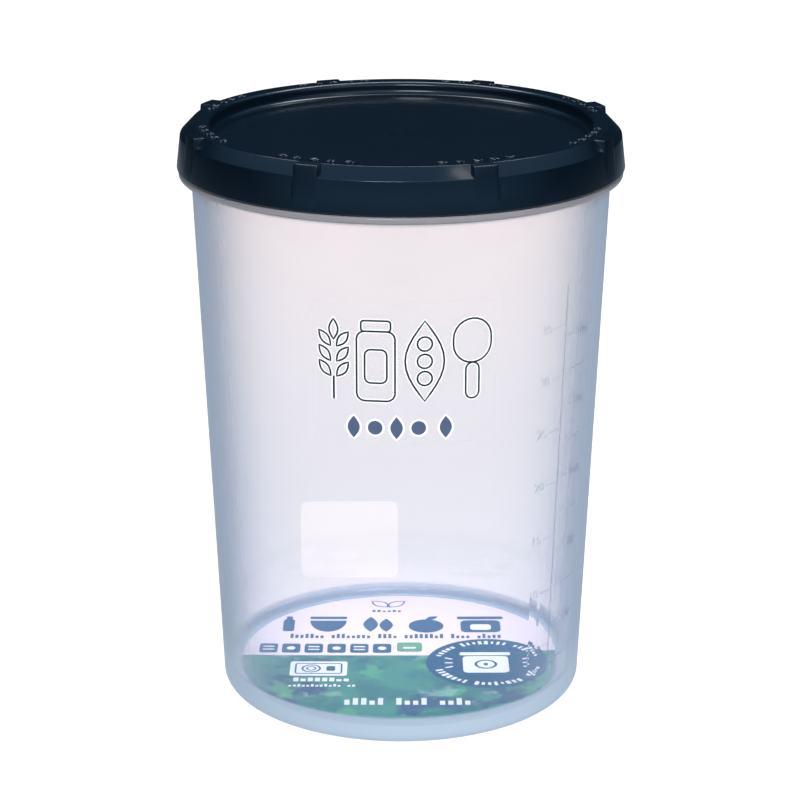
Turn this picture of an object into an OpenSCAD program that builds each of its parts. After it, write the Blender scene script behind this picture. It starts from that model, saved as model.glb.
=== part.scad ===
// Screw-top storage jar: one translucent moulded jar, a dark screw lid with a recessed top,
// a sealing ring, a clear film label and a printed card on the floor inside.
// Millimetres. +Z is up, the origin is at the centre of the foot, and the front looks along -Y.

/* [Jar] */
// Height from the foot to the mouth rim
jar_h = 166.4; // [150:0.2:190]
// Outer radius of the wall, carried down to the foot plane
base_r = 52.84; // [50:0.02:56]
// Growth of the outer radius for each millimetre of height
taper = 0.0436; // [0.03:0.0002:0.05]
// Wall thickness
wall = 1.8; // [1.6:0.1:2]
// Height of the inner floor above the foot plane
floor_z = 5.6; // [5.2:0.1:7]
// Radius of the outer corner between the wall and the foot
foot_round = 4.0; // [3:0.1:4.6]
// Radius of the inner corner between the wall and the floor
floor_round = 3.0; // [2:0.1:3.4]

/* [Flange and neck] */
// Height of the flange's upper face
flange_z = 156.5; // [150:0.1:158]
// Thickness of the flange
flange_t = 2.1; // [1.6:0.1:3]
// Outer radius of the flange
flange_r = 63.1; // [61:0.1:63.4]
// Outer radius of the neck above the flange
neck_r = 59.6; // [59.5:0.05:59.8]

/* [Thread] */
// Number of thread starts, one lug each on the neck and in the lid
starts = 4; // [4:1:4]
// Rise of the lid in one full turn
lead = 12; // [11.5:0.5:12.5]
// Sweep of each lug on the neck, in degrees
neck_lug_sweep = 66; // [40:1:70]
// Sweep of each lug in the lid, in degrees
lid_lug_sweep = 46; // [30:1:60]

/* [Lid] */
// Height of the skirt's lower edge above the foot plane
skirt_z = 156.8; // [156.8:0.1:157.2]
// Height of the top of the raised rim
rim_z = 169.4; // [169.2:0.1:170]
// Outer radius of the skirt at its lower edge
skirt_r = 63.6; // [63.5:0.1:65]
// Outer radius of the skirt at its upper edge
shoulder_r = 62.5; // [62.3:0.1:62.8]
// Outer radius of the flat rim
rim_r = 59.3; // [59:0.1:59.6]
// Radius of the recess that another jar's foot stands in
recess_r = 54.0; // [53.8:0.1:54.4]
// Depth of the recess
recess_depth = 3.8; // [3:0.1:4]
// Thickness of the lid's walls
lid_wall = 1.6; // [1.4:0.1:1.7]

/* [Grip ribs] */
// Number of ribs round the lid
rib_count = 8; // [4:1:12]
// Width of a rib
rib_w = 6.8; // [4:0.2:9]
// Direction of the first rib, in degrees from the front
rib_start = 21.1; // [0:0.1:44]

/* [Label and card] */
// Left edge of the film label, along the wall from the middle of the front
label_left = 24.6; // [20:0.2:30]
// Right edge of the film label, along the wall from the middle of the front
label_right = 26.6; // [20:0.2:30]
// Height of the label's lower edge
label_z = 91.8; // [80:0.2:100]
// Height of the label itself
label_h = 40.2; // [30:0.2:50]
// Radius of the card on the floor
card_r = 47.8; // [40:0.1:48]
// Thickness of the card
card_t = 0.35; // [0.2:0.05:0.6]

/* [Measuring scale] */
// Direction of the scale's upright line, in degrees from the front
scale_at = 51.7; // [30:0.1:80]
// How far the scale stands out of the wall
scale_relief = 0.2; // [0.15:0.05:0.4]
// Width of the scale's lines
scale_line = 0.4; // [0.3:0.05:0.8]
// Length of a mark that a number stands beside
mark_len = 4.6; // [3:0.2:8]
// Length of a millilitre mark between two numbers
long_mark_len = 10.4; // [5:0.2:12]

/* [Hidden] */
$fn = 96;

front = -90;                               // the front's direction, in degrees from +X
embed = 0.4;                               // how far an added feature reaches into its wall
foot_hollow_z = floor_z - 1.9;             // underside of the floor, above the foot plane
foot_hollow_r = 46.8;                      // radius of the hollow under the floor
foot_hollow_draft = 0.5;                   // how much that hollow widens towards the foot
flange_round = 0.8;
mouth_round = 0.7;

skirt_in_low = skirt_r - 1.7;              // inner radius of the skirt at its lower edge
skirt_in_top = shoulder_r - 1.1;           // inner radius of the skirt at the shoulder
shoulder_z = rim_z - (shoulder_r - rim_r) - 0.1;
panel_z = rim_z - recess_depth;            // upper face of the recessed panel
panel_t = 1.7;
plug_r = recess_r + 1.7;                   // outer radius of the wall that dips into the mouth
channel_z = rim_z - lid_wall;              // roof of the channel over the jar's mouth
channel_r = rim_r + 0.3;                   // outer radius of that roof
recess_round = 0.7;
edge_round = 0.3;
rib_low_z = skirt_z + 2.5;                 // where a rib fades into the skirt
rib_top_r = shoulder_r - 0.2;
rib_embed = 0.25;                          // how far a rib reaches into the shoulder
gate_r = 3.5;
gate_h = 0.12;

seal_gap = 0.1;                            // free space above and below the sealing ring
seal_side_gap = 0.3;                       // free space inside and outside it
lug_depth = 1.4;                           // how far a neck lug stands out of the neck
lug_crest = 1.0;                           // height of a lug at its crest
lug_root = 1.5;                            // height of a lug at its root
lug_z = 162.2;                             // height of the middle of a neck lug
lid_lug_r = neck_r + 0.45;                 // crest radius of a lug in the lid
lug_tilt = atan(lead / (2 * PI * neck_r)); // slope of the thread

ml_step = 100;                             // volume between two millilitre marks
ml_marks = 10;
oz_step = 5;                               // volume between two fluid ounce marks
oz_marks = 7;
ml_per_oz = 29.574;
scale_low_z = 14;
scale_top_z = 131;

// Outer radius of the jar's wall at height z
function wall_r(z) = base_r + taper * z;
// Inner radius of the jar's wall at height z
function inner_r(z) = wall_r(z) - wall;
// Outer radius of the lid's skirt at height z
function skirt_out_r(z) =
    skirt_r - (skirt_r - shoulder_r) * (z - skirt_z) / (shoulder_z - skirt_z);
// Height at which the jar holds a volume in cubic millimetres: its inside is a frustum
function fill_z(volume) =
    (pow(3 * taper * volume / PI + pow(inner_r(floor_z), 3), 1 / 3) - inner_r(0)) / taper;
// Points along a rounded corner
function arc(cx, cz, r, from, to, steps = 6) =
    [for (i = [0:steps]) let (a = from + (to - from) * i / steps) [cx + r * cos(a), cz + r * sin(a)]];
// An angle that spans a length along a circle
function span(length, r) = length / r * 180 / PI;

// A section swept through part of a turn, centred on a direction from the front
module sector(at, width_deg) {
    rotate([0, 0, front + at - width_deg / 2]) rotate_extrude(angle = width_deg) children();
}

// A lug of the thread: a short arc tilted to the thread's slope
module lug(at, z, sweep, root_r, crest_r) {
    rotate([0, 0, front + at]) translate([0, 0, z]) rotate([lug_tilt, 0, 0])
        rotate([0, 0, -sweep / 2]) rotate_extrude(angle = sweep)
            polygon([[root_r, -lug_root / 2], [crest_r, -lug_crest / 2],
                     [crest_r, lug_crest / 2], [root_r, lug_root / 2]]);
}

// Upright line and one mark for each step of volume, moulded on the outside of the wall
module scale_marks() {
    sector(scale_at, span(scale_line, wall_r(scale_low_z)))
        polygon([[wall_r(scale_low_z) - embed, scale_low_z], [wall_r(scale_low_z) + scale_relief, scale_low_z],
                 [wall_r(scale_top_z) + scale_relief, scale_top_z], [wall_r(scale_top_z) - embed, scale_top_z]]);
    for (i = [1:ml_marks])
        scale_mark(fill_z(i * ml_step * 1000), 1, i % 2 == 0 ? mark_len : long_mark_len);
    for (i = [1:oz_marks])
        scale_mark(fill_z(i * oz_step * ml_per_oz * 1000), -1, mark_len);
}

// One level mark, to the right (side = 1) or to the left (side = -1) of the upright line
module scale_mark(z, side, length) {
    width = span(length, wall_r(z));
    sector(scale_at + side * width / 2, width)
        translate([wall_r(z) - embed, z - scale_line / 2]) square([embed + scale_relief, scale_line]);
}

module jar_section() {
    corner_z = foot_round;
    corner_r = wall_r(corner_z) - foot_round;
    floor_corner_z = floor_z + floor_round;
    floor_corner_r = inner_r(floor_corner_z) - floor_round;
    flange_low = flange_z - flange_t;
    polygon(concat(
        [[0, foot_hollow_z], [foot_hollow_r, foot_hollow_z], [foot_hollow_r + foot_hollow_draft, 0]],
        arc(corner_r, corner_z, foot_round, -90, 0, 8),
        [[wall_r(flange_low), flange_low]],
        arc(flange_r - flange_round, flange_low + flange_round, flange_round, -90, 0),
        arc(flange_r - flange_round, flange_z - flange_round, flange_round, 0, 90),
        [[neck_r, flange_z]],
        arc(neck_r - mouth_round, jar_h - mouth_round, mouth_round, 0, 90),
        arc(inner_r(flange_z) + mouth_round, jar_h - mouth_round, mouth_round, 90, 180),
        [[inner_r(flange_z), flange_z]],
        arc(floor_corner_r, floor_corner_z, floor_round, 0, -90, 8),
        [[0, floor_z]]));
}

// One moulding: foot, floor, tapered wall, flange, neck with its thread, and the measuring scale
module jar() {
    color([0.88, 0.89, 0.93, 0.5]) {
        rotate_extrude() jar_section();
        for (i = [0:starts - 1])
            lug(i * 360 / starts, lug_z, neck_lug_sweep, neck_r - embed, neck_r + lug_depth);
        scale_marks();
    }
}

module lid_section() {
    polygon(concat(
        [[0, panel_z]],
        arc(recess_r - recess_round, panel_z + recess_round, recess_round, -90, 0),
        arc(recess_r + recess_round, rim_z - recess_round, recess_round, 180, 90),
        [[rim_r, rim_z], [shoulder_r, shoulder_z]],
        arc(skirt_r - edge_round, skirt_z + edge_round, edge_round, 0, -90, 4),
        [[skirt_in_low, skirt_z], [skirt_in_top, shoulder_z - 0.7],
         [channel_r, channel_z], [plug_r, channel_z],
         [plug_r, panel_z - panel_t + 1], [plug_r - 1, panel_z - panel_t], [0, panel_z - panel_t]]));
}

// A rib bridges the chamfer, level with the rim, and fades into the skirt
module grip_rib(at) {
    mid_r = (rib_top_r + rim_r) / 2;
    sector(at, span(rib_w, mid_r))
        polygon([[rim_r - rib_embed, rim_z - rib_embed], [rim_r - rib_embed, rim_z], [rib_top_r, rim_z],
                 [skirt_out_r(rib_low_z), rib_low_z], [skirt_out_r(rib_low_z) - embed, rib_low_z],
                 [shoulder_r - rib_embed, shoulder_z - rib_embed]]);
}

// One moulding: skirt, chamfered shoulder, raised rim, recessed panel, ribs and the inner thread
module lid() {
    color([0.05, 0.1, 0.16]) {
        rotate_extrude() lid_section();
        for (i = [0:rib_count - 1]) grip_rib(rib_start + i * 360 / rib_count);
        for (i = [0:starts - 1])
            lug(i * 360 / starts, lug_z - lead / starts / 2, lid_lug_sweep, skirt_in_low + 0.1, lid_lug_r);
        translate([0, 0, panel_z - embed]) cylinder(r = gate_r, h = embed + gate_h);
    }
}

// Flat ring in the roof of the lid's channel, pressed on by the jar's mouth rim
module sealing_ring() {
    color([0.75, 0.77, 0.8])
        rotate_extrude()
            translate([plug_r + seal_side_gap, jar_h + seal_gap])
                square([channel_r - plug_r - 2 * seal_side_gap, channel_z - jar_h - 2 * seal_gap]);
}

// Clear film on the outside of the wall, at the front
module front_label() {
    film_t = 0.12;
    film_gap = 0.02;
    left = span(label_left, wall_r(label_z));
    right = span(label_right, wall_r(label_z));
    color([0.9, 0.92, 0.96, 0.3])
        sector((right - left) / 2, left + right)
            polygon([for (p = [[film_gap, 0], [film_gap + film_t, 0], [film_gap + film_t, label_h],
                               [film_gap, label_h]])
                [wall_r(label_z + p[1]) + p[0], label_z + p[1]]]);
}

// Printed card lying on the floor inside the jar
module base_card() {
    color([0.36, 0.66, 0.62])
        translate([0, 0, floor_z + 0.02]) cylinder(r = card_r, h = card_t);
}

jar();
lid();
sealing_ring();
front_label();
base_card();
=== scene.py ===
import math
import random

import bpy
from mathutils import Matrix, Vector


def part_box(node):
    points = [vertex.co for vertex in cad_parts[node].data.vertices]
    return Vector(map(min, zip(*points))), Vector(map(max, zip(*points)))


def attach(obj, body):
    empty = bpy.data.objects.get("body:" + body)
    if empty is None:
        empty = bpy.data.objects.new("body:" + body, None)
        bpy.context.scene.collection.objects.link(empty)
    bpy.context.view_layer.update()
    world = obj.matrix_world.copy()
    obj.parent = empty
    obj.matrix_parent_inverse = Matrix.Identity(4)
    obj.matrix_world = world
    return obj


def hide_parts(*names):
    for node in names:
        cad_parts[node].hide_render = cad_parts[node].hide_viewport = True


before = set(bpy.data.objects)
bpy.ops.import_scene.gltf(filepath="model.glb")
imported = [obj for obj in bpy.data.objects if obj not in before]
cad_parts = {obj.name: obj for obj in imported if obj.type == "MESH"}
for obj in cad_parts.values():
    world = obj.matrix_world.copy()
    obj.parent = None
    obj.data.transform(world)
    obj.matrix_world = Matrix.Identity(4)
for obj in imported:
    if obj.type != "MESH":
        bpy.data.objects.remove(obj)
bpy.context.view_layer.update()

# Screw-top storage jar: translucent jar, dark lid, sealing ring, film label and floor card.
# Lengths are in millimetres until a piece is built, +Z is up and the front looks along -Y.

MM = 0.001
ROUND_STEPS = 256

# Heights and radii, from the frame
JAR_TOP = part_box("jar")[1].z / MM
FLANGE_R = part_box("jar")[1].x / MM
LID_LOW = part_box("lid")[0].z / MM
LID_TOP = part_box("lid")[1].z / MM
SKIRT_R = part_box("lid")[1].x / MM
SEAL_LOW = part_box("sealing_ring")[0].z / MM
SEAL_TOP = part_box("sealing_ring")[1].z / MM
SEAL_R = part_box("sealing_ring")[1].x / MM
CARD_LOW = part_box("base_card")[0].z / MM
CARD_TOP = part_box("base_card")[1].z / MM
CARD_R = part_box("base_card")[1].x / MM
FILM_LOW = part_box("front_label")[0].z / MM
FILM_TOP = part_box("front_label")[1].z / MM

# Jar, as it is moulded
WALL_BASE_R = 52.84
TAPER = 0.0436
WALL = 1.8
FLOOR_Z = 5.6
FLOOR_UNDER_Z = 3.7
FOOT_HOLLOW_R = 47.0
FOOT_ROUND = 4.0
FLOOR_ROUND = 3.0
FLANGE_Z = 156.5
FLANGE_T = 2.1
NECK_R = 59.6

# Thread
STARTS = 4
LEAD = 12.0
LUG_Z = 162.2
NECK_LUG_SWEEP = 66
LID_LUG_SWEEP = 46
LUG_DEPTH = 1.4
LUG_TILT = math.atan(LEAD / (2 * math.pi * NECK_R))

# Measuring scale
SCALE_AT = 51.7
SCALE_LOW = 14
SCALE_TOP = 131
SCALE_RELIEF = 0.2
SCALE_SINK = 0.3
SCALE_LINE = 0.4
MARK_LEN = 4.6
LONG_MARK_LEN = 10.4
NUMBER_SIZE = 3.9
ML_NUMBER_GAP = 4.6
OZ_NUMBER_GAP = 3.4
ML_PER_OZ = 29.574

# Lid
SHOULDER_R = 62.5
SHOULDER_DROP = 3.3
RIM_R = 59.3
RECESS_R = 54.0
RECESS_DEPTH = 3.8
PANEL_T = 1.7
PLUG_R = 55.7
CHANNEL_DEPTH = 1.6
SKIRT_T = 1.7
RIB_COUNT = 8
RIB_START = 21.1
RIB_W = 6.8
RIB_R = 61
RIB_LOW_Z = 159.3
MARK_R = 56.5
MARK_STEP = 4.9
MARK_RELIEF = 0.36
MARK_SINK = 0.2
GATE_R = 3.5
GATE_T = 0.6
GATE_RELIEF = 0.12

# Seal ring
SEAL_W = 3.3

# Floor card: its row of tiles and its round badge
TILES = [-40.2 + 6.9 * k for k in range(6)]
TILE_Y = 4.4
BADGE_X = 25.9
BADGE_Y = -6.8
BADGE_R = 18.4
FRAME_X = -24.4
FRAME_Y = -11.2

# How fast the jar's milk thickens as its wall turns away from the eye
MILK = 2.3

# Prints: how far they stand off what they lie on, and how thick the ink is
INK_GAP = 0.005
CARD_INK_T = 0.03
CARD_INK_STEP = 0.04
LABEL_INK_T = 0.06
HALO_T = 0.05

# Studio, in metres: the light from all round, and how bright the floor and the small card glow
SKY_FILL = 0.42
FLOOR_GLOW = 0.90
FLOOR_REACH = 8
TENT_R = 12
REFLECTOR_GLOW = 1.40
CAMERA_PLACE = (-0.00027, -0.7431, 0.3269)
CAMERA_DOWN = 17.963
CAMERA_LENS = 120.21

# Film label
FILM_LEFT = -24.6
FILM_RIGHT = 26.6
FILM_T = 0.12
FILM_GAP = 0.02


def wall_r(z):
    """Outer radius of the jar's wall at a height."""
    return WALL_BASE_R + TAPER * z


def inner_r(z):
    """Inner radius of the jar's wall at a height."""
    return wall_r(z) - WALL


def fill_z(millilitres):
    """Height at which the jar, a frustum inside, holds a volume."""
    cubed = 3 * TAPER * millilitres * 1000 / math.pi + inner_r(FLOOR_Z) ** 3
    return (cubed ** (1 / 3) - inner_r(0)) / TAPER


def skirt_r(z):
    """Outer radius of the lid's skirt at a height."""
    height = LID_TOP - SHOULDER_DROP - LID_LOW
    return SKIRT_R - (SKIRT_R - SHOULDER_R) * (z - LID_LOW) / height


# ---------------------------------------------------------------- modelling

def deselect():
    """Deselect everything, because an operator acts on all that is selected."""
    bpy.ops.object.select_all(action="DESELECT")


def edit(piece):
    """Enter edit mode on one piece with everything selected."""
    deselect()
    bpy.context.view_layer.objects.active = piece
    piece.select_set(True)
    bpy.ops.object.mode_set(mode="EDIT")
    bpy.ops.mesh.select_all(action="SELECT")


def leave_edit():
    bpy.ops.object.mode_set(mode="OBJECT")


def settle(piece, name):
    """Put a new piece's place into its mesh, so that its object sits at the origin, and name it."""
    bpy.context.view_layer.update()
    piece.data.transform(piece.matrix_world)
    piece.matrix_world = Matrix.Identity(4)
    piece.name = name
    piece.data.name = name
    return piece


def rounded(corners, steps=5):
    """Points through (radius, height, rounding) corners, with an arc at each rounded corner."""
    points = []
    for i, (x, z, rounding) in enumerate(corners):
        corner = Vector((x, z))
        if rounding == 0:
            points.append(corner)
            continue
        back = (Vector(corners[i - 1][:2]) - corner).normalized()
        ahead = (Vector(corners[(i + 1) % len(corners)][:2]) - corner).normalized()
        half = back.angle(ahead) / 2
        centre = corner + (back + ahead).normalized() * (rounding / math.sin(half))
        first = corner + back * (rounding / math.tan(half)) - centre
        last = corner + ahead * (rounding / math.tan(half)) - centre
        sweep = math.remainder(math.atan2(last.y, last.x) - math.atan2(first.y, first.x), math.tau)
        for k in range(steps + 1):
            points.append(centre + Matrix.Rotation(sweep * k / steps, 2) @ first)
    return points


def chain(points, closed=True):
    """A line of edges in the XZ plane through (x, z) points, drawn by extruding one point."""
    deselect()
    bpy.ops.mesh.primitive_plane_add(size=MM)
    piece = bpy.context.object
    bpy.ops.object.mode_set(mode="EDIT")
    bpy.ops.mesh.merge(type="CENTER")
    bpy.ops.transform.translate(value=(points[0][0] * MM, 0, points[0][1] * MM))
    stops = points[1:] + points[:1] if closed else points[1:]
    for before, after in zip(points, stops):
        step = ((after[0] - before[0]) * MM, 0, (after[1] - before[1]) * MM)
        bpy.ops.mesh.extrude_region_move(TRANSFORM_OT_translate={"value": step})
    bpy.ops.mesh.select_all(action="SELECT")
    bpy.ops.mesh.remove_doubles(threshold=1e-6)
    leave_edit()
    return piece


def tidy_mesh(piece, reach=1e-6):
    """Merge doubled points and turn every face outwards."""
    edit(piece)
    bpy.ops.mesh.remove_doubles(threshold=reach)
    bpy.ops.mesh.select_all(action="SELECT")
    bpy.ops.mesh.normals_make_consistent(inside=False)
    leave_edit()


def lathe(name, corners, arc_steps=5):
    """Turn a section of (radius, height, rounding) corners once round the axis."""
    piece = chain(rounded(corners, arc_steps), closed=corners[0][0] > 0)
    edit(piece)
    bpy.ops.mesh.spin(steps=ROUND_STEPS, angle=math.tau, center=(0, 0, 0), axis=(0, 0, 1))
    leave_edit()
    tidy_mesh(piece)
    return settle(piece, name)


def sector(name, corners, at, sweep, steps=8):
    """Turn a closed section through part of a circle, centred on a direction from the front."""
    piece = chain(rounded(corners, 3))
    edit(piece)
    bpy.ops.mesh.edge_face_add()
    bpy.ops.mesh.spin(steps=steps, angle=math.radians(sweep), center=(0, 0, 0), axis=(0, 0, 1))
    leave_edit()
    tidy_mesh(piece)
    piece.data.transform(Matrix.Rotation(math.radians(at - 90 + sweep / 2), 4, "Z"))
    return settle(piece, name)


def copy_of(piece, turn):
    """A copy with its own mesh, turned about the axis."""
    twin = piece.copy()
    twin.data = piece.data.copy()
    bpy.context.scene.collection.objects.link(twin)
    twin.data.transform(Matrix.Rotation(math.radians(turn), 4, "Z"))
    return twin


def join(name, pieces):
    deselect()
    for piece in pieces:
        piece.select_set(True)
    bpy.context.view_layer.objects.active = pieces[0]
    if len(pieces) > 1:
        bpy.ops.object.join()
    return settle(pieces[0], name)


def modify(piece, kind, **settings):
    """Add a modifier, set it and apply it."""
    deselect()
    piece.select_set(True)
    bpy.context.view_layer.objects.active = piece
    bpy.ops.object.modifier_add(type=kind)
    modifier = piece.modifiers[-1]
    for key, value in settings.items():
        setattr(modifier, key, value)
    bpy.ops.object.modifier_apply(modifier=modifier.name)


def soften(piece, width, segments=2, angle=40):
    modify(piece, "BEVEL", width=width * MM, segments=segments, limit_method="ANGLE",
           angle_limit=math.radians(angle))


def bevel_where(piece, chosen, width, segments):
    """Bevel the edges that chosen() picks by their two end points."""
    edit(piece)
    bpy.ops.mesh.select_mode(type="EDGE")
    bpy.ops.mesh.select_all(action="DESELECT")
    leave_edit()
    points = piece.data.vertices
    for line in piece.data.edges:
        line.select = chosen(*(points[i].co for i in line.vertices))
    bpy.ops.object.mode_set(mode="EDIT")
    bpy.ops.mesh.bevel(offset=width * MM, segments=segments, affect="EDGES")
    bpy.ops.mesh.select_mode(type="VERT")
    leave_edit()


def unite(piece, added):
    """Join a second piece into the first as one moulding."""
    modify(piece, "BOOLEAN", operation="UNION", solver="EXACT", object=added)
    bpy.data.objects.remove(added)


def smooth(piece, angle=32):
    deselect()
    piece.select_set(True)
    bpy.context.view_layer.objects.active = piece
    bpy.ops.object.shade_smooth_by_angle(angle=math.radians(angle))


def on_wall(piece, at):
    """Bend a flat piece, drawn across X and up Z with its face to -Y, onto the jar's wall."""
    for vertex in piece.data.vertices:
        across, lift, z = vertex.co.x / MM, -vertex.co.y / MM, vertex.co.z / MM
        angle = math.radians(at) + across / wall_r(z)
        radius = (wall_r(z) + lift) * MM
        vertex.co = (radius * math.sin(angle), -radius * math.cos(angle), vertex.co.z)
    return piece


# ------------------------------------------------------- flat shapes for prints

def bar(x, y, width, depth, corner=0.0, at=0.0):
    """A flat bar lying on XY, one unit thick, with its upright edges rounded."""
    deselect()
    bpy.ops.mesh.primitive_cube_add(size=1, location=(x * MM, y * MM, 0),
                                    scale=(width * MM, depth * MM, MM))
    piece = bpy.context.object
    if at:
        piece.rotation_euler.z = math.radians(at)
    settle(piece, "bar")
    if corner:
        bevel_where(piece, lambda first, second: abs(first.z - second.z) > 0.5 * MM, corner, 4)
    return piece


def disc(x, y, radius, sides=48):
    deselect()
    bpy.ops.mesh.primitive_cylinder_add(vertices=sides, radius=radius * MM, depth=MM,
                                        location=(x * MM, y * MM, 0))
    return settle(bpy.context.object, "disc")


def hoop(x, y, radius, width):
    """A flat ring: a square-sectioned torus, one unit thick."""
    deselect()
    bpy.ops.mesh.primitive_torus_add(location=(x * MM, y * MM, 0), major_segments=72,
                                     minor_segments=4, major_radius=radius * MM,
                                     minor_radius=width / 2 * MM)
    return settle(bpy.context.object, "hoop")


def line(points, width, closed=False):
    """A line of one width through (x, y) points on XY."""
    piece = chain(points, closed)
    deselect()
    piece.select_set(True)
    bpy.context.view_layer.objects.active = piece
    bpy.ops.object.convert(target="CURVE")
    piece = bpy.context.object
    piece.data.bevel_depth = width / 2 * MM
    piece.data.bevel_resolution = 1
    piece.data.fill_mode = "FULL"
    piece.data.use_fill_caps = True
    bpy.ops.object.convert(target="MESH")
    piece = bpy.context.object
    piece.data.transform(Matrix.Rotation(math.radians(-90), 4, "X"))
    return settle(piece, "line")


def ink_layer(name, shapes, low, thick):
    """Join flat shapes into one layer of ink that lies over XY between two heights."""
    layer = join(name, shapes)
    heights = [vertex.co.z for vertex in layer.data.vertices]
    lowest = min(heights)
    tall = max(heights) - lowest
    for vertex in layer.data.vertices:
        vertex.co.z = (low + thick * (vertex.co.z - lowest) / tall) * MM
    return layer


# ---------------------------------------------------------------- materials

class Value:
    """An output in a material. Arithmetic on it adds Math nodes."""

    def __init__(self, finish, socket):
        self.finish = finish
        self.socket = socket

    def maths(self, operation, first, second):
        return self.finish.node("ShaderNodeMath", {"operation": operation}, {0: first, 1: second})

    def __add__(self, other):
        return self.maths("ADD", self, other)

    def __radd__(self, other):
        return self.maths("ADD", other, self)

    def __sub__(self, other):
        return self.maths("SUBTRACT", self, other)

    def __rsub__(self, other):
        return self.maths("SUBTRACT", other, self)

    def __mul__(self, other):
        return self.maths("MULTIPLY", self, other)

    def __rmul__(self, other):
        return self.maths("MULTIPLY", other, self)

    def __pow__(self, other):
        return self.maths("POWER", self, other)


class Finish:
    """A material with a Principled shader, over which a veil can lay a second one."""

    def __init__(self, name, **constants):
        self.material = bpy.data.materials.new(name)
        self.material.use_nodes = True
        self.tree = self.material.node_tree
        self.shader = self.tree.nodes["Principled BSDF"]
        for key, value in constants.items():
            self.shader.inputs[key.replace("_", " ")].default_value = value

    def node(self, kind, settings=None, inputs=None, output=0):
        """Any node: its settings are set first, then its sockets are given values or links."""
        made = self.tree.nodes.new(kind)
        for key, value in (settings or {}).items():
            if key == "stops":
                ramp = made.color_ramp
                while len(ramp.elements) < len(value):
                    ramp.elements.new(0.5)
                for stop, (place, colour) in zip(ramp.elements, value):
                    stop.position = place
                    stop.color = (*colour, 1)
            else:
                setattr(made, key, value)
        for key, value in (inputs or {}).items():
            if isinstance(value, Value):
                self.tree.links.new(value.socket, made.inputs[key])
            elif isinstance(value, tuple) and made.inputs[key].type == "RGBA":
                made.inputs[key].default_value = (*value, 1)
            else:
                made.inputs[key].default_value = value
        return Value(self, made.outputs[output])

    def place(self):
        return self.node("ShaderNodeTexCoord", output="Object")

    def axis(self, name):
        """One coordinate of the place on the object, in millimetres."""
        return self.node("ShaderNodeSeparateXYZ", {}, {0: self.place()}, name) * (1 / MM)

    def noise(self, size, detail=2.0, rough=0.5, stretch=None, seed=0.0):
        """Noise with features of about a size in millimetres, from 0 to 1."""
        place = self.node("ShaderNodeMapping", {}, {"Vector": self.place(),
                                                    "Location": (seed, seed, seed),
                                                    "Scale": stretch or (1.0, 1.0, 1.0)})
        return self.node("ShaderNodeTexNoise", {}, {"Vector": place, "Scale": 1 / (size * MM),
                                                    "Detail": detail, "Roughness": rough})

    def mix(self, amount, first, second, kind="MIX"):
        settings = {"data_type": "RGBA", "blend_type": kind}
        return self.node("ShaderNodeMix", settings, {0: amount, 6: first, 7: second}, 2)

    def step(self, value, low, high):
        """0 below low, 1 above high and smooth between."""
        return self.node("ShaderNodeMapRange", {"interpolation_type": "SMOOTHSTEP"},
                         {"Value": value, "From Min": low, "From Max": high})

    def feed(self, socket, value):
        self.tree.links.new(value.socket, self.shader.inputs[socket])

    def slant(self):
        """0 where the surface faces the eye, rising to 1 where it is seen edge on."""
        return self.node("ShaderNodeLayerWeight", {}, {"Blend": 0.5}, "Facing")

    def veil(self, amount, inputs):
        """Lay a second, plain shader over the first, as far as amount says, from 0 to 1."""
        second = self.node("ShaderNodeBsdfPrincipled", {}, inputs)
        first = Value(self, self.shader.outputs[0])
        both = self.node("ShaderNodeMixShader", {}, {0: amount, 1: first, 2: second})
        self.tree.links.new(both.socket, self.tree.nodes["Material Output"].inputs["Surface"])

    def bump(self, height, strength, distance):
        """Relief: height from 0 to 1 stands for a distance in millimetres."""
        self.feed("Normal", self.node("ShaderNodeBump", {}, {"Height": height, "Strength": strength,
                                                             "Distance": distance * MM}))


def dress(piece, finish):
    piece.data.materials.clear()
    piece.data.materials.append(finish.material)


def lid_plastic():
    """Dark navy polypropylene with a fine moulded grain, and painted highlights: pale specks on top of the
    raised marks, in place of lamp glints on their facets.
    """
    finish = Finish("lid_navy_plastic", IOR=1.45, Specular_IOR_Level=0.5)
    navy = finish.mix(finish.noise(14, 3), (0.0009, 0.0042, 0.0092), (0.0012, 0.0054, 0.0118))
    # Painted highlight: pale specks on the tops of the raised rim marks stand in for glints of the lamps.
    painted_glints = finish.step(finish.axis("Z"), LID_TOP + 0.12, LID_TOP + 0.3)
    painted_glints = painted_glints * finish.step(finish.noise(0.7, 2, seed=2.0), 0.38, 0.62)
    finish.feed("Base Color", finish.mix(painted_glints, navy, (0.085, 0.115, 0.155)))
    finish.feed("Roughness", 0.11 + 0.10 * finish.noise(6, 3))
    finish.bump(finish.noise(0.5, 3), 0.2, 0.008)
    return finish


def milk_thickness(finish, z):
    """How much of the milky veil shows face on: most in the foot, with a clean upper edge outside, and at
    the flange, where the veil's dark top colour is painted shade under the lid.
    """
    across = finish.axis("X")
    along = finish.axis("Y")
    radius = (across * across + along * along) ** 0.5
    outside = finish.step(radius, WALL_BASE_R - 0.8, WALL_BASE_R - 0.2)
    foot = 0.72 * (1 - finish.step(z, 3.5, 8))
    band = 0.7 * outside * (1 - finish.step(z, 8.0, 9.6))
    # Painted shade: the veil here takes the dark colour at the top of the jar's veil ramp, in place of the
    # shade under the lid.
    flange = 0.65 * finish.step(z, FLANGE_Z - 4, FLANGE_Z - 2)
    return foot + flange + band


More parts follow.
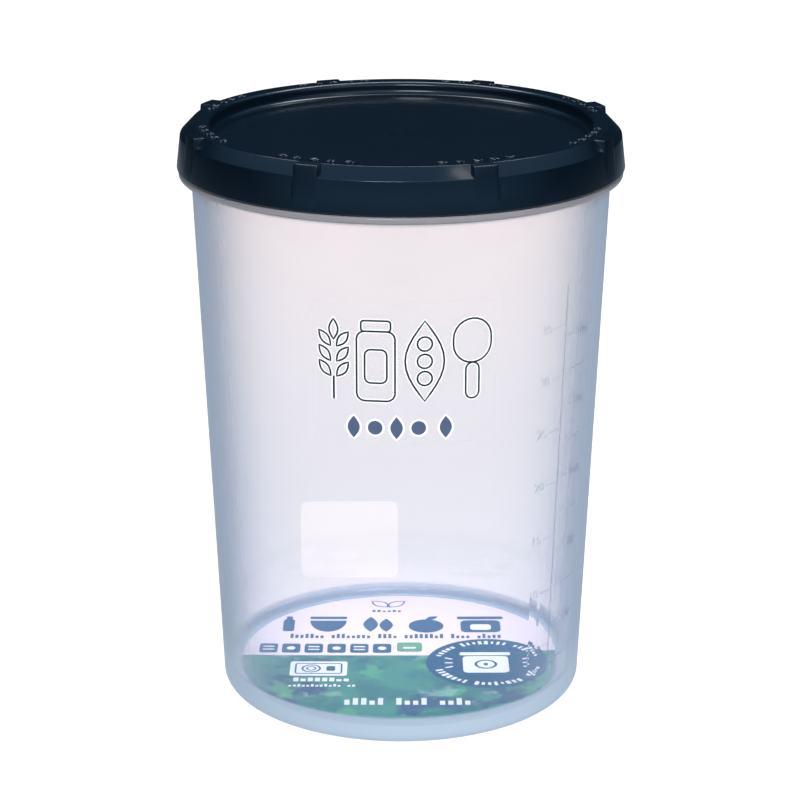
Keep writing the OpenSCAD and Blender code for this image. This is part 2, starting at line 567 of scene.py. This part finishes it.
def jar_plastic():
    """Clear polypropylene with a little milky veil in it, which shows where the wall is seen at a slant; a
    warm tint at the top is painted reflection and a dark veil under the lid is painted shade.
    """
    finish = Finish("jar_clear_plastic", IOR=1.47, Transmission_Weight=0.985, Roughness=0.02)
    z = finish.axis("Z")
    height = z * (1 / JAR_TOP)
    # Tint by height, bluish lower down and warm pink at the top: the warm top is a painted reflection of
    # warm surroundings.
    stops = [(0.0, (0.85, 0.85, 0.91)), (0.45, (0.835, 0.83, 0.865)), (1.0, (0.912, 0.858, 0.861))]
    finish.feed("Base Color", finish.node("ShaderNodeValToRGB", {"stops": stops}, {0: height}))
    # Veil colour by height: blue-grey milky plastic, with a dark stop at the top that is painted shade
    # under the lid.
    stops = [(0.0, (0.38, 0.48, 0.60)), (0.05, (0.38, 0.48, 0.60)), (0.12, (0.30, 0.38, 0.50)),
             (0.90, (0.29, 0.36, 0.47)), (0.93, (0.20, 0.20, 0.225))]
    milk_and_shade_colour = finish.node("ShaderNodeValToRGB", {"stops": stops}, {0: height})
    amount = finish.slant() ** 3 * MILK + milk_thickness(finish, z)
    finish.veil(amount, {"Base Color": milk_and_shade_colour, "Roughness": 0.3, "IOR": 1.47})
    finish.bump(finish.noise(25, 1), 0.15, 0.05)
    return finish


def seal_rubber():
    """Milky silicone rubber."""
    finish = Finish("seal_silicone", IOR=1.41, Specular_IOR_Level=0.35, Transmission_Weight=0.15)
    finish.feed("Base Color", finish.mix(finish.noise(5, 3), (0.66, 0.69, 0.72), (0.76, 0.78, 0.80)))
    finish.feed("Roughness", 0.42 + 0.14 * finish.noise(2, 2))
    finish.bump(finish.noise(0.4, 2), 0.2, 0.02)
    return finish


def label_film():
    """Clear film, only just visible."""
    finish = Finish("clear_film", IOR=1.3, Roughness=0.12, Alpha=0.05)
    finish.feed("Base Color", finish.mix(finish.noise(9, 2), (0.56, 0.58, 0.64), (0.66, 0.67, 0.72)))
    return finish


def ink(name, dark, light):
    """Printing ink with a little mottle."""
    finish = Finish(name, IOR=1.45, Roughness=0.45, Specular_IOR_Level=0.1)
    finish.feed("Base Color", finish.mix(finish.noise(0.8, 3), dark, light))
    return finish


def card_paper():
    """Coated card: pale behind the middle line, a green and blue water-colour wash in front of it."""
    finish = Finish("printed_card", IOR=1.5, Roughness=0.35, Specular_IOR_Level=0.1)
    paper = finish.mix(finish.noise(20, 2), (0.84, 0.75, 0.83), (0.88, 0.79, 0.86))
    wash = finish.mix(finish.step(finish.noise(14, 3, 0.6, seed=3.1), 0.42, 0.58),
                      (0.035, 0.20, 0.22), (0.055, 0.27, 0.24))
    wash = finish.mix(finish.step(finish.noise(17, 4, 0.6, seed=7.7), 0.53, 0.60),
                      wash, (0.028, 0.115, 0.220))
    wash = finish.mix(finish.step(finish.noise(12, 4, 0.6, seed=1.3), 0.54, 0.62),
                      wash, (0.085, 0.360, 0.240))
    wash = finish.mix(finish.step(finish.noise(13, 4, 0.65, seed=5.2), 0.57, 0.66) * 0.45,
                      wash, (0.36, 0.56, 0.56))
    front = finish.step(0.0 - finish.axis("Y"), 0.8, 1.2)
    finish.feed("Base Color", finish.mix(front, paper, wash))
    finish.bump(finish.noise(0.6, 3), 0.1, 0.02)
    return finish


# ---------------------------------------------------------------- the jar

def lug_section(root, tip):
    """Section of a thread lug, thicker at its root than at its rounded tip."""
    return [(root, -0.75, 0), (tip, -0.5, 0.2), (tip, 0.5, 0.2), (root, 0.75, 0)]


def neck_lugs():
    section = lug_section(NECK_R - 0.4, NECK_R + LUG_DEPTH)
    return tilted_lugs("neck_lug", section, NECK_LUG_SWEEP, LUG_Z)


def tilted_lugs(name, section, sweep, z):
    """One lug for each start: a short arc tilted to the thread's slope."""
    lug = sector(name, section, 90, sweep, 24)
    lug.data.transform(Matrix.Rotation(LUG_TILT, 4, "X"))
    lug.data.transform(Matrix.Translation((0, 0, z * MM)))
    lugs = [copy_of(lug, i * 360 / STARTS) for i in range(STARTS)]
    bpy.data.objects.remove(lug)
    return join(name + "s", lugs)


def flat_block(x, z, width, height):
    """A scale mark drawn flat for the wall: across X and up Z, sunk a little into the face."""
    deselect()
    middle = (SCALE_SINK - SCALE_RELIEF) / 2
    bpy.ops.mesh.primitive_cube_add(size=1, location=(x * MM, middle * MM, z * MM),
                                    scale=(width * MM, (SCALE_SINK + SCALE_RELIEF) * MM, height * MM))
    piece = settle(bpy.context.object, "mark")
    if width > 1:
        edit(piece)
        bpy.ops.mesh.subdivide(number_cuts=3)
        leave_edit()
    return piece


def number(text, x, z):
    """A number in low relief, drawn flat for the wall and centred on x and z."""
    deselect()
    bpy.ops.object.text_add(location=(0, 0, 0), rotation=(math.pi / 2, 0, 0))
    piece = bpy.context.object
    piece.data.body = text
    piece.data.size = NUMBER_SIZE * MM
    piece.data.align_x = "CENTER"
    piece.data.align_y = "CENTER"
    piece.data.extrude = SCALE_RELIEF * MM
    piece.data.resolution_u = 3
    bpy.ops.object.convert(target="MESH")
    piece = settle(bpy.context.object, "number")
    piece.data.transform(Matrix.Translation((x * MM, 0.05 * MM, z * MM)))
    tidy_mesh(piece)
    return piece


def scale_marks():
    """The upright line, a mark for each step of volume and the numbers beside them."""
    middle = (SCALE_LOW + SCALE_TOP) / 2
    beside = SCALE_LINE / 2 + 0.02
    parts = [flat_block(0, middle, SCALE_LINE, SCALE_TOP - SCALE_LOW)]
    for volume in range(100, 1001, 100):
        z = fill_z(volume)
        length = MARK_LEN if volume % 200 == 0 else LONG_MARK_LEN
        parts.append(flat_block(length / 2 + beside, z, length, SCALE_LINE))
        if volume % 200 == 0:
            parts.append(number(str(volume), length + ML_NUMBER_GAP, z))
    for ounces in range(5, 36, 5):
        z = fill_z(ounces * ML_PER_OZ)
        parts.append(flat_block(-MARK_LEN / 2 - beside, z, MARK_LEN, SCALE_LINE))
        parts.append(number(str(ounces), -MARK_LEN - OZ_NUMBER_GAP, z))
    return on_wall(join("scale_marks", parts), SCALE_AT)


def build_jar():
    flange_low = FLANGE_Z - FLANGE_T
    jar = lathe("jar_shell", [
        (0, FLOOR_UNDER_Z, 0), (FOOT_HOLLOW_R - 0.2, FLOOR_UNDER_Z, 1.2),
        (FOOT_HOLLOW_R + 0.3, 0, 0.4), (WALL_BASE_R, 0, FOOT_ROUND),
        (wall_r(flange_low), flange_low, 0.4), (FLANGE_R, flange_low, 0.8),
        (FLANGE_R, FLANGE_Z, 0.8), (NECK_R, FLANGE_Z, 0.4), (NECK_R, JAR_TOP, 0.7),
        (inner_r(FLANGE_Z), JAR_TOP, 0.7), (inner_r(FLANGE_Z), FLANGE_Z, 2.0),
        (inner_r(FLOOR_Z), FLOOR_Z, FLOOR_ROUND), (0, FLOOR_Z, 0)], 8)
    unite(jar, neck_lugs())
    unite(jar, scale_marks())
    smooth(jar)
    dress(jar, jar_plastic())
    jar.visible_shadow = False
    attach(jar, "jar_body")
    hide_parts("jar")


# ---------------------------------------------------------------- the lid

def grip_rib():
    """One rib at the front: it bridges the chamfer and fades into the skirt."""
    proud = 0.2
    top_r = skirt_r(LID_TOP) + proud
    sweep = math.degrees(RIB_W / RIB_R)
    rib = sector("grip_rib", [
        (RIM_R - 0.6, LID_TOP - 0.6, 0), (RIM_R - 0.6, LID_TOP - 0.02, 0),
        (top_r, LID_TOP - 0.02, 0.35), (skirt_r(RIB_LOW_Z), RIB_LOW_Z, 0),
        (skirt_r(RIB_LOW_Z) - 0.6, RIB_LOW_Z, 0),
        (SHOULDER_R - 0.6, LID_TOP - SHOULDER_DROP - 0.6, 0)], 0, sweep, 6)
    side = math.sin(math.radians(sweep / 2))

    def on_a_side(*ends):
        return all(abs(abs(end.x) / end.xy.length - side) < 1e-4 for end in ends)

    bevel_where(rib, on_a_side, 0.15, 2)
    tidy_mesh(rib)
    return rib


def rim_marks():
    """Five small raised marks beside a rib, at the front: chevrons and pairs of dots."""
    parts = []
    for i in range(-2, 3):
        shapes = []
        if i % 2 == 0:
            shapes.append(bar(-0.45, 0.8, 1.5, 0.6, 0.15, 20))
            shapes.append(bar(-0.45, -0.45, 1.4, 0.6, 0.15, -25))
            shapes.append(disc(0.95, 0.1, 0.45, 12))
        else:
            shapes.append(disc(-0.7, 0.5, 0.5, 12))
            shapes.append(bar(0.5, 0, 0.6, 1.9, 0.15, 15))
            shapes.append(disc(-0.65, -0.8, 0.42, 12))
        mark = join("mark", shapes)
        mark.data.transform(Matrix.Translation((0, -MARK_R * MM, 0)))
        mark.data.transform(Matrix.Rotation(i * MARK_STEP / MARK_R, 4, "Z"))
        parts.append(mark)
    marks = join("rim_marks", parts)
    for vertex in marks.data.vertices:
        raised = MARK_RELIEF if vertex.co.z > 0 else -MARK_SINK
        vertex.co.z = (LID_TOP + raised) * MM
    tidy_mesh(marks)
    soften(marks, 0.2, 2)
    return marks


def eight_of(name, piece):
    """Copies of one front piece beside each other round the lid, in place of it."""
    copies = [copy_of(piece, RIB_START + i * 360 / RIB_COUNT) for i in range(RIB_COUNT)]
    bpy.data.objects.remove(piece)
    return join(name, copies)


def lid_lugs():
    root = SKIRT_R - SKIRT_T
    section = lug_section(root + 0.1, NECK_R + 0.45)
    return tilted_lugs("lid_lug", section, LID_LUG_SWEEP, LUG_Z - LEAD / STARTS / 2)


def gate_mark(panel):
    """Low round pad in the middle of the panel, where the plastic was let in."""
    gate = disc(0, 0, GATE_R, 96)
    gate.data.transform(Matrix.Scale(GATE_T, 4, (0, 0, 1)))
    gate.data.transform(Matrix.Translation((0, 0, (panel + GATE_RELIEF - GATE_T / 2) * MM)))
    return gate


def build_lid():
    top = LID_TOP
    panel = top - RECESS_DEPTH
    lid = lathe("lid_shell", [
        (0, panel, 0), (RECESS_R, panel, 1.7), (RECESS_R, top, 1.3), (RIM_R, top, 0.3),
        (SHOULDER_R, top - SHOULDER_DROP, 0.5), (SKIRT_R, LID_LOW, 0.35),
        (SKIRT_R - SKIRT_T, LID_LOW, 0.3), (SHOULDER_R - 1.1, top - SHOULDER_DROP - 0.7, 0.5),
        (RIM_R + 0.3, top - CHANNEL_DEPTH, 0.3), (PLUG_R, top - CHANNEL_DEPTH, 0.3),
        (PLUG_R, panel - PANEL_T + 1, 0.2), (PLUG_R - 1, panel - PANEL_T, 0.2),
        (0, panel - PANEL_T, 0)], 6)
    unite(lid, eight_of("ribs", grip_rib()))
    unite(lid, eight_of("marks", rim_marks()))
    unite(lid, lid_lugs())
    unite(lid, gate_mark(panel))
    smooth(lid)
    dress(lid, lid_plastic())
    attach(lid, "lid_body")
    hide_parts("lid")


def build_seal():
    inside = SEAL_R - SEAL_W
    seal = lathe("seal_ring", [
        (inside, SEAL_LOW, 0.3), (inside + 1.2, SEAL_LOW, 0.2), (inside + 1.5, SEAL_LOW + 0.2, 0.1),
        (inside + 1.8, SEAL_LOW, 0.2), (SEAL_R, SEAL_LOW, 0.3), (SEAL_R, SEAL_TOP, 0.3),
        (inside, SEAL_TOP, 0.3)], 4)
    smooth(seal)
    dress(seal, seal_rubber())
    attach(seal, "seal_body")
    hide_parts("sealing_ring")


# ---------------------------------------------------------------- the film label

def capsule(x, low, high, radius, steps=8):
    """Outline of an upright capsule."""
    arc = [(radius * math.cos(math.pi * k / steps), radius * math.sin(math.pi * k / steps))
           for k in range(steps + 1)]
    top = [(x + u, high - radius + v) for u, v in arc]
    foot = [(x - u, low + radius - v) for u, v in arc]
    return top + foot


def leaf(x, z, length, width, turn=0.0, steps=10):
    """Outline of a pointed leaf, upright before it is turned."""
    right = [(width / 2 * math.sin(math.pi * k / steps), length * (k / steps - 0.5))
             for k in range(steps + 1)]
    left = [(-u, v) for u, v in reversed(right[1:-1])]
    cos = math.cos(math.radians(turn))
    sin = math.sin(math.radians(turn))
    return [(x + u * cos - v * sin, z + u * sin + v * cos) for u, v in right + left]


def ring(x, z, radius, steps=20):
    return [(x + radius * math.cos(math.tau * k / steps), z + radius * math.sin(math.tau * k / steps))
            for k in range(steps)]


def box_outline(x, z, width, height, rounding):
    return [tuple(p) for p in rounded([
        (x - width / 2, z - height / 2, rounding), (x + width / 2, z - height / 2, rounding),
        (x + width / 2, z + height / 2, rounding), (x - width / 2, z + height / 2, rounding)], 4)]


def label_outlines():
    """Four tall line pictures of what the jar keeps: a grain ear, a tall tin, a pea pod and a scoop."""
    low, high = 104.2, 127.0
    middle = (low + high) / 2
    shapes = []
    x = -18.4
    shapes.append(([(x, low), (x, low + 6.5)], False))
    for k in range(3):
        z = low + 8.6 + 4.3 * k
        shapes.append((leaf(x + 2.5, z, 5.4, 2.3, -38), True))
        shapes.append((leaf(x - 2.5, z, 5.4, 2.3, 38), True))
    shapes.append((leaf(x, high - 2.9, 5.8, 2.5), True))
    x = -6.8
    shapes.append((box_outline(x, middle - 1.5, 10.4, high - low - 3.0, 2.2), True))
    shapes.append((box_outline(x, high - 1.5, 8.0, 3.0, 0.8), True))
    shapes.append((box_outline(x, middle - 1.5, 6.0, 9.5, 1.6), True))
    x = 6.4
    shapes.append((leaf(x, middle, high - low, 10.6), True))
    for k in range(-1, 2):
        shapes.append((ring(x, middle + 4.9 * k, 2.0), True))
    x = 19.6
    shapes.append((capsule(x, high - 12.5, high, 5.4, 12), True))
    shapes.append((capsule(x, low, high - 12.5, 1.9), True))
    return shapes


def label_solids():
    """Five small solid shapes in a row under the pictures."""
    z = 96.5
    height = 6.4
    shapes = []
    for k, x in enumerate((-12.9, -7.0, -1.2, 4.8, 12.2)):
        if k % 2 == 0:
            shapes.append((leaf(x, z, height, 3.4), True))
        else:
            shapes.append((ring(x, z, 2.0, 28), True))
    return shapes


def layer_on_wall(name, shapes, low, thick, finish):
    """A layer of ink on the film: drawn over XY, stood up and bent onto the wall."""
    layer = ink_layer(name, shapes, low, thick)
    layer.data.transform(Matrix.Rotation(math.radians(90), 4, "X"))
    on_wall(layer, 0)
    tidy_mesh(layer)
    dress(layer, finish)
    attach(layer, "jar_body")


def solid(points):
    """A filled flat shape, one unit thick, from its outline."""
    piece = chain(points)
    edit(piece)
    bpy.ops.mesh.edge_face_add()
    bpy.ops.mesh.extrude_region_move(TRANSFORM_OT_translate={"value": (0, MM, 0)})
    leave_edit()
    tidy_mesh(piece)
    piece.data.transform(Matrix.Rotation(math.radians(-90), 4, "X"))
    return settle(piece, "solid")


def build_film():
    """Clear film bent onto the front of the wall."""
    width = FILM_RIGHT - FILM_LEFT
    deselect()
    bpy.ops.mesh.primitive_cube_add(size=1,
        location=((FILM_LEFT + FILM_RIGHT) / 2 * MM, 0, (FILM_LOW + FILM_TOP) / 2 * MM),
        scale=(width * MM, FILM_T * MM, (FILM_TOP - FILM_LOW) * MM))
    film = settle(bpy.context.object, "label_film")
    soften(film, 0.03, 1)
    edit(film)
    bpy.ops.mesh.subdivide(number_cuts=20)
    leave_edit()
    for vertex in film.data.vertices:
        vertex.co.y -= (FILM_T / 2 + FILM_GAP) * MM
    on_wall(film, 0)
    smooth(film)
    dress(film, label_film())
    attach(film, "jar_body")
    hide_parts("front_label")


def build_label_prints():
    """A white halo under everything, dark outlines for the pictures and blue solids for the row."""
    slate = ink("slate_ink", (0.010, 0.020, 0.034), (0.018, 0.030, 0.048))
    white = ink("white_ink", (0.86, 0.87, 0.92), (0.95, 0.95, 0.98))
    blue = ink("label_blue_ink", (0.060, 0.090, 0.160), (0.080, 0.115, 0.195))
    outlines = label_outlines()
    solids = label_solids()
    on_film = FILM_T + 0.01
    over_halo = on_film + HALO_T
    halo = [line(points, 1.35, closed) for points, closed in outlines + solids]
    layer_on_wall("label_halo", halo, on_film, HALO_T, white)
    drawn = [line(points, 0.6, closed) for points, closed in outlines]
    layer_on_wall("label_pictures", drawn, over_halo, LABEL_INK_T, slate)
    row = [solid(points) for points, closed in solids]
    layer_on_wall("label_row", row, over_halo, LABEL_INK_T, blue)


# ---------------------------------------------------------------- the floor card

def dashes(x, y, width, depth, letter, gap, word, seed):
    """A row of small upright dashes of mixed heights, in groups, in place of small print."""
    choose = random.Random(seed)
    shapes = []
    place = x
    left = choose.randint(*word)
    while place + letter <= x + width:
        tall = depth * choose.choice((0.6, 0.75, 1.0))
        shapes.append(bar(place + letter / 2, y + tall / 2, letter, tall))
        place += letter + gap
        left -= 1
        if left == 0:
            place += 2.2 * gap + letter * 0.6
            left = choose.randint(*word)
    return shapes


def card_layer(name, shapes, level, finish):
    """A layer of ink on the card; level 0 lies on the card itself and each next one on the last."""
    low = CARD_TOP + INK_GAP + CARD_INK_STEP * level
    layer = ink_layer(name, shapes, low, CARD_INK_T)
    tidy_mesh(layer)
    dress(layer, finish)
    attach(layer, "jar_body")


def sprig_shapes():
    """A sprig of two outlined leaves with a short row of dashes under it."""
    shapes = [line(leaf(-6.4, 40.6, 7.6, 3.8, 48), 0.6, True),
              line(leaf(-1.6, 40.6, 7.6, 3.8, -48), 0.6, True)]
    return shapes + dashes(-9.0, 34.0, 10.5, 1.6, 1.0, 0.6, (7, 7), 3)


def kitchen_shapes():
    """Five solid kitchen pictures, a bottle, a bowl, two leaves, a fruit and a jar, over dashes."""
    shapes = [bar(-34.9, 22.6, 3.6, 9.6, 1.0), bar(-34.9, 28.4, 1.9, 3.0, 0.4)]
    bowl = [(-22.6 + 5.7 * math.cos(math.pi * k / 14), 26.6 - 9.0 * math.sin(math.pi * k / 14))
            for k in range(15)]
    shapes += [solid(bowl), bar(-22.6, 28.9, 11.6, 2.0, 0.7)]
    shapes += [solid(leaf(-9.4, 23.7, 12.4, 4.6)), solid(leaf(-4.6, 23.0, 10.8, 4.2))]
    shapes += [disc(7.8, 22.3, 5.4), solid(leaf(9.6, 28.9, 4.6, 2.4, -55))]
    shapes += [bar(24.7, 22.0, 12.4, 9.8, 2.0), bar(24.7, 28.9, 14.4, 2.2, 0.7)]
    return shapes + dashes(-34.0, 12.4, 66.0, 3.4, 0.95, 0.6, (4, 9), 11)


def badge_pale_shapes():
    """Dashes round the badge's edge, three rays on each side and a pot with its lid."""
    choose = random.Random(21)
    shapes = []
    out = BADGE_R - 2.9
    for k in range(52):
        angle = math.tau * k / 52
        if abs(math.sin(angle)) > 0.28 and k % 9:
            shapes.append(bar(BADGE_X + out * math.cos(angle), BADGE_Y + out * math.sin(angle),
                              choose.uniform(1.3, 2.5), choose.uniform(0.7, 1.3), 0, math.degrees(angle)))
    for side in (-1, 1):
        for k in range(-1, 2):
            shapes.append(bar(BADGE_X + side * 11.6, BADGE_Y + 3.2 * k, 2.4, 0.7, 0, side * 25 * k))
    shapes.append(bar(BADGE_X - 0.6, BADGE_Y - 1.2, 13.6, 12.4, 1.6))
    shapes.append(bar(BADGE_X - 0.6, BADGE_Y + 6.8, 15.2, 2.2, 0.6))
    return shapes


def tile_marks():
    """Two bars or a dot on each tile in turn."""
    shapes = []
    for k, x in enumerate(TILES):
        if k % 2 == 0:
            shapes += [bar(x, TILE_Y + 1.2, 3.4, 0.8), bar(x, TILE_Y - 1.0, 3.4, 0.8)]
        else:
            shapes.append(disc(x, TILE_Y, 1.3, 16))
    return shapes


def caption_shapes():
    """Dashes for the two captions under the framed picture and for the line at the card's front."""
    shapes = dashes(-31.5, -20.6, 16.5, 2.6, 1.5, 0.6, (9, 9), 5)
    shapes += dashes(-32.7, -24.4, 19.5, 1.8, 0.8, 0.5, (12, 12), 7)
    return shapes + dashes(-16.2, -37.2, 39.0, 4.6, 1.5, 0.9, (4, 5), 13)


def framed_picture():
    """Two rings and a square inside a thin frame."""
    return [line(box_outline(FRAME_X, FRAME_Y, 13.6, 7.4, 0.8), 0.6, True),
            hoop(FRAME_X - 2.2, FRAME_Y, 2.6, 0.6), hoop(FRAME_X - 2.2, FRAME_Y, 1.3, 0.5),
            bar(FRAME_X + 3.6, FRAME_Y, 2.6, 3.4, 0.6)]


def build_card():
    card = lathe("floor_card", [(0, CARD_LOW, 0), (CARD_R, CARD_LOW, 0.05), (CARD_R, CARD_TOP, 0.05),
                                (0, CARD_TOP, 0)], 2)
    smooth(card)
    dress(card, card_paper())
    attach(card, "jar_body")
    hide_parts("base_card")


def build_card_prints():
    slate = ink("card_slate_ink", (0.032, 0.120, 0.245), (0.040, 0.140, 0.275))
    teal = ink("card_teal_ink", (0.022, 0.115, 0.235), (0.030, 0.135, 0.265))
    green = ink("card_green_ink", (0.120, 0.330, 0.230), (0.145, 0.370, 0.260))
    navy = ink("card_navy_ink", (0.008, 0.100, 0.215), (0.012, 0.115, 0.240))
    pale = ink("card_pale_ink", (0.80, 0.86, 0.92), (0.90, 0.93, 0.97))
    card_layer("card_slate_print", sprig_shapes() + kitchen_shapes(), 0, slate)
    card_layer("card_teal_print", [bar(x, TILE_Y, 5.6, 7.0, 1.0) for x in TILES], 0, teal)
    card_layer("card_green_tab", [bar(2.6, 5.4, 7.6, 7.2, 1.2)], 0, green)
    card_layer("card_badge", [disc(BADGE_X, BADGE_Y, BADGE_R, 96)], 0, navy)
    frame_pane = bar(FRAME_X, FRAME_Y, 16.9, 10.6, 0.9)
    jar_window = bar(24.7, 21.2, 6.4, 4.4, 1.2)
    tab_bar = bar(2.6, 4.8, 4.0, 1.2, 0.5)
    light = badge_pale_shapes() + [frame_pane, jar_window, tab_bar] + tile_marks() + caption_shapes()
    card_layer("card_pale_print", light, 1, pale)
    pot_mark = [hoop(BADGE_X - 0.6, BADGE_Y - 1.2, 3.0, 0.8),
                bar(BADGE_X - 0.6, BADGE_Y - 1.2, 1.2, 1.8)]
    card_layer("card_badge_detail", pot_mark, 2, navy)
    card_layer("card_frame_detail", framed_picture(), 2, teal)


# ---------------------------------------------------------------- studio

def emission_of(finish, colour, strength):
    finish.shader.inputs["Emission Color"].default_value = (*colour, 1)
    finish.shader.inputs["Emission Strength"].default_value = strength


def build_floor():
    """Pale, faintly glowing floor that runs far out."""
    deselect()
    bpy.ops.mesh.primitive_circle_add(vertices=128, radius=FLOOR_REACH, fill_type="NGON",
                                      location=(0, 0, 0))
    floor = settle(bpy.context.object, "studio_floor")
    finish = Finish("studio_floor", Roughness=0.9, Specular_IOR_Level=0.0)
    finish.shader.inputs["Base Color"].default_value = (0.20, 0.20, 0.20, 1)
    emission_of(finish, (1, 1, 1), FLOOR_GLOW)
    dress(floor, finish)
    floor.visible_glossy = False


def build_tent():
    """A large tent that only reflections and see-through plastic see: dark round the back at eye level,
    soft below and overhead, and brighter in front, with a bright band high up."""
    deselect()
    bpy.ops.mesh.primitive_uv_sphere_add(segments=48, ring_count=24, radius=TENT_R)
    tent = settle(bpy.context.object, "studio_tent")
    finish = Finish("studio_tent", Roughness=1.0, Specular_IOR_Level=0.0)
    finish.shader.inputs["Base Color"].default_value = (0, 0, 0, 1)
    height = finish.axis("Z") * (MM / (2 * TENT_R)) + 0.5
    front = finish.step(finish.axis("Y") * (-MM / TENT_R), 0.0, 0.9)
    round_about = [(0.0, (0.50, 0.58, 0.70)), (0.36, (0.45, 0.53, 0.65)), (0.42, (0.06, 0.09, 0.12)),
                   (0.48, (0.012, 0.02, 0.03)), (0.55, (0.012, 0.024, 0.045)),
                   (0.72, (0.012, 0.024, 0.045)), (0.90, (0.30, 0.54, 0.85)), (1.0, (0.34, 0.62, 1.0))]
    ahead = [(0.0, (0.50, 0.58, 0.70)), (0.36, (0.45, 0.53, 0.65)), (0.42, (0.10, 0.18, 0.28)),
             (0.47, (0.24, 0.48, 0.78)), (0.52, (0.18, 0.36, 0.60)), (0.58, (0.10, 0.18, 0.30)),
             (0.68, (0.9, 1.2, 1.6)), (0.84, (1.0, 1.3, 1.7)), (0.93, (0.34, 0.58, 0.90)),
             (1.0, (0.34, 0.62, 1.0))]
    finish.feed("Emission Color", finish.mix(
        front, finish.node("ShaderNodeValToRGB", {"stops": round_about}, {0: height}),
        finish.node("ShaderNodeValToRGB", {"stops": ahead}, {0: height})))
    finish.shader.inputs["Emission Strength"].default_value = 1
    dress(tent, finish)
    tent.visible_camera = False
    tent.visible_diffuse = False
    tent.visible_shadow = False


def build_reflector():
    """A small bright card that stands close behind the jar and is only seen through it."""
    panel = bar(0, 0, 33, 27, 2.5)
    panel.data.transform(Matrix.Rotation(math.radians(90), 4, "X"))
    panel.data.transform(Matrix.Translation((-17.5 * MM, 78 * MM, 14.5 * MM)))
    settle(panel, "studio_reflector")
    finish = Finish("studio_reflector", Roughness=1.0)
    finish.shader.inputs["Base Color"].default_value = (0, 0, 0, 1)
    emission_of(finish, (1, 0.96, 0.91), REFLECTOR_GLOW)
    dress(panel, finish)
    panel.visible_camera = False
    panel.visible_diffuse = False
    panel.visible_glossy = False
    panel.visible_shadow = False


def softbox(name, place, aim, width, height, power, mirrored=True):
    deselect()
    bpy.ops.object.light_add(type="AREA", location=place)
    lamp = bpy.context.object
    lamp.name = name
    lamp.data.shape = "RECTANGLE"
    lamp.data.size = width
    lamp.data.size_y = height
    lamp.data.energy = power
    lamp.visible_glossy = mirrored
    lamp.rotation_euler = (Vector(aim) - Vector(place)).to_track_quat("-Z", "Y").to_euler()
    return lamp


def build_sky():
    """Even pale light from all round: white to the camera, weaker on the object, and not mirrored."""
    world = bpy.data.worlds.new("studio_world")
    bpy.context.scene.world = world
    world.use_nodes = True
    nodes = world.node_tree.nodes
    sky = nodes["Background"]
    sky.inputs["Color"].default_value = (1, 1, 1, 1)
    seen = nodes.new("ShaderNodeLightPath")
    level = nodes.new("ShaderNodeMapRange")
    level.inputs["To Min"].default_value = SKY_FILL
    level.inputs["To Max"].default_value = 1.0
    world.node_tree.links.new(seen.outputs["Is Camera Ray"], level.inputs["Value"])
    world.node_tree.links.new(level.outputs["Result"], sky.inputs["Strength"])
    world.cycles_visibility.glossy = False
    world.cycles_visibility.transmission = False
    bpy.context.scene.view_settings.view_transform = "Standard"


def build_lamps():
    """Two small lamps for highlights, a wide one behind overhead and a large soft fill in front."""
    middle = (0, 0, 0.1)
    softbox("softbox_front", (-0.20, -1.17, 0.84), middle, 0.45, 0.12, 5.0)
    softbox("softbox_over", (0.45, -0.30, 1.15), middle, 0.10, 0.30, 0.35)
    softbox("softbox_top", (0.0, 0.55, 1.3), middle, 1.4, 0.3, 14.0)
    softbox("softbox_fill", (0.30, -1.1, 0.95), middle, 0.8, 0.8, 11.5, False)


def build_camera():
    """Long lens, level with the front and looking a little down."""
    bpy.ops.object.camera_add(location=CAMERA_PLACE, rotation=(math.radians(90 - CAMERA_DOWN), 0, 0))
    camera = bpy.context.object
    camera.name = "camera"
    camera.data.sensor_width = 36
    camera.data.lens = CAMERA_LENS
    camera.data.clip_start = 0.01
    bpy.context.scene.camera = camera


build_camera()
build_sky()
build_lamps()
build_floor()
build_tent()
build_reflector()
build_jar()
build_lid()
build_seal()
build_film()
build_label_prints()
build_card()
build_card_prints()
